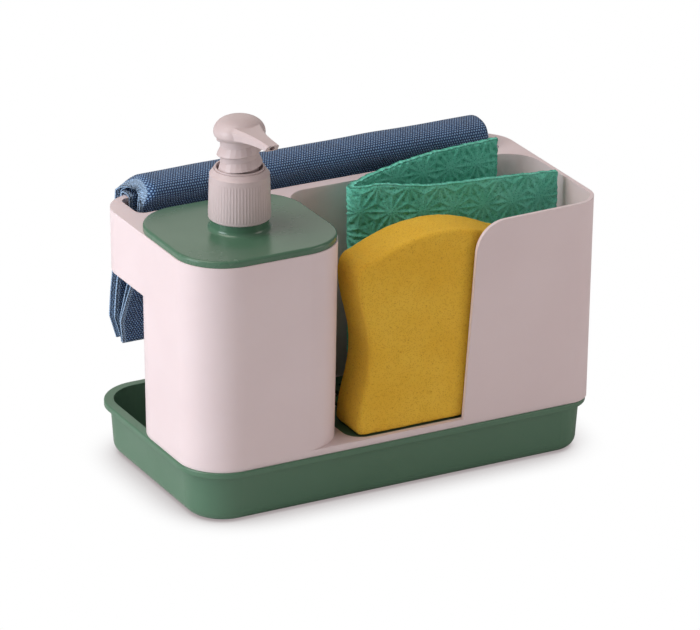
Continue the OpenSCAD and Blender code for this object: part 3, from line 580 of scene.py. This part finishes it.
# Section of the folded towel, from the front fall's foot to the rear one's: how far its outside
# stands off the slot's front, in shares of ROLL_DEEP, how high it is, in shares of the towel's
# height, and how far its inside has gone over the rail, in shares of ROLL_OVER
OUT_SHARES = (
    0.505, 0.464, 0.341, 0.222, 0.172, 0.11, 0.13, 0.235,
    0.42, 0.614, 0.805, 0.949, 1, 1, 0.99, 0.974,
)
UP_SHARES = (
    0, 0.228, 0.525, 0.752, 0.861, 0.92, 0.96, 0.988,
    1, 0.988, 0.956, 0.906, 0.832, 0.574, 0.228, 0,
)
OVER_SHARES = (
    0, 0, 0, 0, 0, 0.03, 0.12, 0.3,
    0.5, 0.65, 0.8, 0.97, 1, 1, 1, 1,
)
# The layers, from the rail outwards: place between rail and outside, and tuck of the edges
LAYERS = ((0, 0.0012), (0.58, 0.0022), (1.0, 0.0))
# Splay of the falls on rising levels, three over the foot and two over the rim, and how much
# higher the front falls end
FOOT_LEVELS = (0.0, 0.013, 0.036)
RIM_LEVELS = (0.0, 0.012)
FRONT_SPLAY = (0.0040, 0.0054, 0.0012, 0.0, 0.0)
REAR_SPLAY = (0.0024, 0.0056, 0.0026, 0.0006, 0.0006)
FRONT_SHORT = 0.0024
# Ripples and belly of the rear falls, crumple of the whole cloth, and its thinner edges
RIPPLE = 0.0011
RIPPLE_RUN = 0.0135
RIPPLE_START = 3
BELLY = 0.0022
CRUMPLE = 0.00045
CRUMPLE_WIDE = 0.03
CRUMPLE_LONG = 0.022
CRUMPLE_LAYER = 4.0
EDGE_THINS_SHARE = 0.35
EDGE_THINS_OVER = 0.001
# Ends of the roll, which starts just over the rim: how far each is set in, and the share of the
# half width that closes
LIP_LOW = 0.001
LIP_H = 0.008
LEFT_INSET = 0.0036
RIGHT_INSET = 0.0006
LEFT_CAP_SHARE = 0.05
RIGHT_CAP_SHARE = 0.025
CAP_SHARE = 0.99
ROLL_DEEP = RAIL_REAR + ROLL_PROUD - SLOT_FRONT
ROLL_MID_SHARE = 0.55
ROLL_MID_H = 0.0055
ROLL_MID_Y = SLOT_FRONT + ROLL_DEEP * ROLL_MID_SHARE
ROLL_MID_Z = CADDY_TOP + ROLL_MID_H


def towel_layer(foot, tall, share, tuck):
    """Section of one layer, share 0 against the rail and 1 outside, with the tuck of its edges."""
    line = []
    for out, up, over in zip(OUT_SHARES, UP_SHARES, OVER_SHARES):
        z = foot + tall * up
        outer = np.array([SLOT_FRONT + ROLL_DEEP * out, z])
        inner = np.array([RAIL_FRONT - TOWEL_GAP + ROLL_OVER * over, min(z, CADDY_TOP + TOWEL_GAP)])
        way = (outer - inner) / np.linalg.norm(outer - inner)
        near, far = inner + way * TOWEL_THICK * INSIDE_CLEAR, outer - way * TOWEL_THICK * OUTSIDE_CLEAR
        line.append(np.append(near + (far - near) * share, tuck))
    return line


def fold(a, b):
    """Points of the half turn below two ends of a section."""
    mid, reach = (a + b) / 2, (b - a) / 2
    sink = np.array([0.0, -abs(reach[0]), 0.0])
    turns = (FOLD_START, math.pi / 2, math.pi - FOLD_START)
    return [mid - reach * math.cos(t) + sink * math.sin(t) for t in turns]


def towel_path(foot, tall):
    """The folded towel's section, through its three layers in turn, and its length."""
    inner, middle, outer = (towel_layer(foot, tall, share, tuck) for share, tuck in LAYERS)
    turns = inner + fold(inner[-1], middle[-1]) + middle[::-1] + fold(middle[0], outer[0]) + outer
    return through(turns, TOWEL_STEPS)


def towel_half(low, high, x, z, tuck, rear, lip):
    """Half width: splayed over the foot, gathered in the slot and set in at the roll."""
    levels = np.r_[low[2] + np.array(FOOT_LEVELS), CADDY_TOP + np.array(RIM_LEVELS)]
    splay = np.interp(z, levels, FRONT_SPLAY) * (1 - rear) + np.interp(z, levels, REAR_SPLAY) * rear
    inset = np.where(x < 0, LEFT_INSET, RIGHT_INSET) * lip
    return (high[0] - low[0]) / 2 - TOWEL_GAP + splay - tuck - inset


def roll_cap(x, lip):
    """Share, 0 to 1, by which the roll's two ends are drawn in to its middle."""
    left = (-x - 1 + LEFT_CAP_SHARE) / LEFT_CAP_SHARE
    right = (x - 1 + RIGHT_CAP_SHARE) / RIGHT_CAP_SHARE
    from_end = np.clip(np.where(x < 0, left, right), 0, 1)
    return lip * (1 - np.sqrt(1 - CAP_SHARE * from_end**2))


def crumple(across, along):
    """Soft unevenness of the cloth, point by point."""
    return CRUMPLE * np.array([
        [noise.noise(Vector((a / CRUMPLE_WIDE, b / CRUMPLE_LONG, CRUMPLE_LAYER))) for a in row]
        for row, b in zip(across, along)
    ])


def make_towel():
    """A microfibre towel in three layers through the slot and over the rail: wider on top than
    the slot that gathers it, with falls that splay and lean together at their foot."""
    low, high = (np.array(c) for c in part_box("towel"))
    path, length = towel_path(low[2], high[2] - low[2])
    y, z, tuck = (path[:, k : k + 1] for k in range(3))
    way = np.gradient(path[:, :2], axis=0)
    way /= np.linalg.norm(way, axis=1, keepdims=True)
    side = np.stack([way[:, 1], -way[:, 0]], 1)
    x = np.linspace(-1, 1, TOWEL_COLUMNS)[None, :]
    rear = (y > (RAIL_FRONT + RAIL_REAR) / 2).astype(float)
    lip = np.clip((z - CADDY_TOP - LIP_LOW) / LIP_H, 0, 1)
    drop = np.clip((RAIL_LOW - z) / (RAIL_LOW - low[2]), 0, 1)

    half = towel_half(low, high, x, z, tuck, rear, lip)
    across = x * half
    wide = 2 * float(half.max())
    u = (x + 1) * wide / 2 * np.ones((len(path), 1))
    v = np.linspace(0, length, len(path))[:, None] * np.ones(x.shape)
    edge = np.minimum.reduce([u, wide - u, v, length - v])
    thin = 1 - EDGE_THINS_SHARE * np.clip(1 - edge / EDGE_THINS_OVER, 0, 1) ** 2

    close = np.where(rear > 0, -1, 1) * (RAIL_REAR - RAIL_FRONT) / 2 * ease(drop)
    ripple = RIPPLE * np.sin(across / RIPPLE_RUN + RIPPLE_START) * drop
    swing = (ripple + BELLY * np.sin(math.pi * drop)) * rear
    rise = (1 - rear) * FRONT_SHORT * drop
    uneven = crumple(across, v[:, 0])
    cap = roll_cap(x, lip)

    def face(sign):
        """One side of the towel, drawn in at the ends of the roll."""
        shift = uneven + sign * TOWEL_THICK / 2 * thin
        out_y, up_z = y + side[:, 0:1] * shift, z + side[:, 1:2] * shift + rise
        out_y = out_y + (ROLL_MID_Y - out_y) * cap
        up_z = up_z + (ROLL_MID_Z - up_z) * cap
        return np.stack([across, out_y + close + swing, up_z], -1)

    points, faces, plan = closed_sheet(face(-1), face(1), np.stack([u, v], -1))
    piece = make("towel_sheet", points, faces, woven_microfibre(wide), plan)
    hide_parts("towel")
    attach(piece, "towel")


def make_spring():
    """The solid's coil as a piece of its own, between its cup and the stem's foot, attached to the pump
    unit.
    """
    node = NODES["return_spring"]
    piece = bpy.data.objects.new("spring_coil", node.data.copy())
    piece.matrix_world = node.matrix_world
    bpy.context.scene.collection.objects.link(piece)
    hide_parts("return_spring")
    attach(piece, "pump_unit")
    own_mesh(piece)


make_sponge()
make_sponge_cloth()
make_towel()
make_spring()


# Floor, camera and light
FLOOR_REACH = 1.6
FLOOR_Z = -0.0002
SHADOW_REACH = 0.035
# The photograph's camera, from the fit to the caddy's edges
LENS_MM = 261.7
SENSOR_MM = 36.0
FAR = 20
EYE = (-1.21938, -2.30855, 1.15434)
LOOK_BACK = (-0.43287, -0.81709, 0.38077)
TILT = math.radians(-0.376)
# Spot that the lamps are turned to
MIDDLE = Vector((0, 0, 0.08))


def white_paper():
    """Matt white paper: seen as plain white, with a painted soft contact shadow where the tray meets it.
    """
    material, tree, shader = surface("matt white paper")
    feed(tree, shader, {"Base Color": "#F2F1F1", "Roughness": 0.9, "Specular IOR Level": 0.1})
    near = add(tree, "AmbientOcclusion", {"Distance": SHADOW_REACH}, "AO", samples=24)
    share = add(tree, "MapRange", {
        "Value": near, "From Min": 0.12, "From Max": 0.85}, interpolation_type="SMOOTHSTEP")
    # Painted shadow: the paper's glow is darkened where the tray stands close to it
    tone = add(tree, "Mix", {0: share, 6: "#A39A9B", 7: "#FFFFFF"}, 2, data_type="RGBA")
    seen = add(tree, "Emission", {"Color": tone, "Strength": 1.0})
    direct = add(tree, "LightPath", {}, "Is Camera Ray")
    mixed = add(tree, "MixShader", {0: direct, 1: shader.outputs[0], 2: seen})
    feed(tree, tree.nodes["Material Output"], {"Surface": mixed})
    return material


def floor():
    """A round sheet of paper just under the tray."""
    turns = np.radians(np.arange(0, 360, 6))
    rim = [(FLOOR_REACH * math.cos(a), FLOOR_REACH * math.sin(a), FLOOR_Z) for a in turns]
    make("floor_sweep", rim, [range(len(rim))], white_paper())


def camera():
    """The photograph's camera, with its slight tilt."""
    back = Vector(LOOK_BACK).normalized()
    right = Vector((-back.y, back.x, 0)).normalized()
    up = back.cross(right)
    c, s = math.cos(TILT), math.sin(TILT)
    right, up = right * c - up * s, right * s + up * c
    lens = bpy.data.cameras.new("camera")
    lens.lens = LENS_MM
    lens.sensor_width = SENSOR_MM
    lens.sensor_fit = "HORIZONTAL"
    lens.clip_end = FAR
    stand = bpy.data.objects.new("camera", lens)
    turn = Matrix((right, up, back)).transposed().to_4x4()
    stand.matrix_world = Matrix.Translation(Vector(EYE)) @ turn
    bpy.context.scene.collection.objects.link(stand)
    bpy.context.scene.camera = stand


def lamp(name, place, size, watts, colour):
    """A soft rectangular lamp, turned to the caddy's middle."""
    light = bpy.data.lights.new(name, "AREA")
    light.shape = "RECTANGLE"
    light.size, light.size_y = size
    light.energy = watts
    light.color = srgb(colour)[:3]
    stand = bpy.data.objects.new(name, light)
    stand.location = place
    stand.rotation_euler = (MIDDLE - Vector(place)).to_track_quat("-Z", "Y").to_euler()
    bpy.context.scene.collection.objects.link(stand)


def room():
    """Dim soft room light, which the camera itself sees as plain white."""
    world = bpy.data.worlds.new("studio")
    world.use_nodes = True
    bpy.context.scene.world = world
    tree = world.node_tree
    dim = tree.nodes["Background"]
    feed(tree, dim, {"Color": "#F8F2F0", "Strength": 0.23})
    white = add(tree, "Background", {"Color": "#FFFFFF"})
    direct = add(tree, "LightPath", {}, "Is Camera Ray")
    mixed = add(tree, "MixShader", {0: direct, 1: dim.outputs[0], 2: white})
    feed(tree, tree.nodes["World Output"], {"Surface": mixed})


floor()
camera()
room()
lamp("key_left", (-1.6, 0.1, 0.45), (0.8, 0.8), 13.5, "#F1F7FF")
lamp("top_soft", (-0.75, 0.1, 1.25), (1.0, 1.0), 10.5, "#FFF2EC")
lamp("right_fill", (0.75, -0.7, 0.35), (0.5, 0.5), 1.9, "#FFF0EC")
lamp("rear_card", (0.75, 1.4, 0.75), (1.6, 1.0), 3.2, "#FFF6F2")
bpy.context.scene.view_settings.view_transform = "Standard"
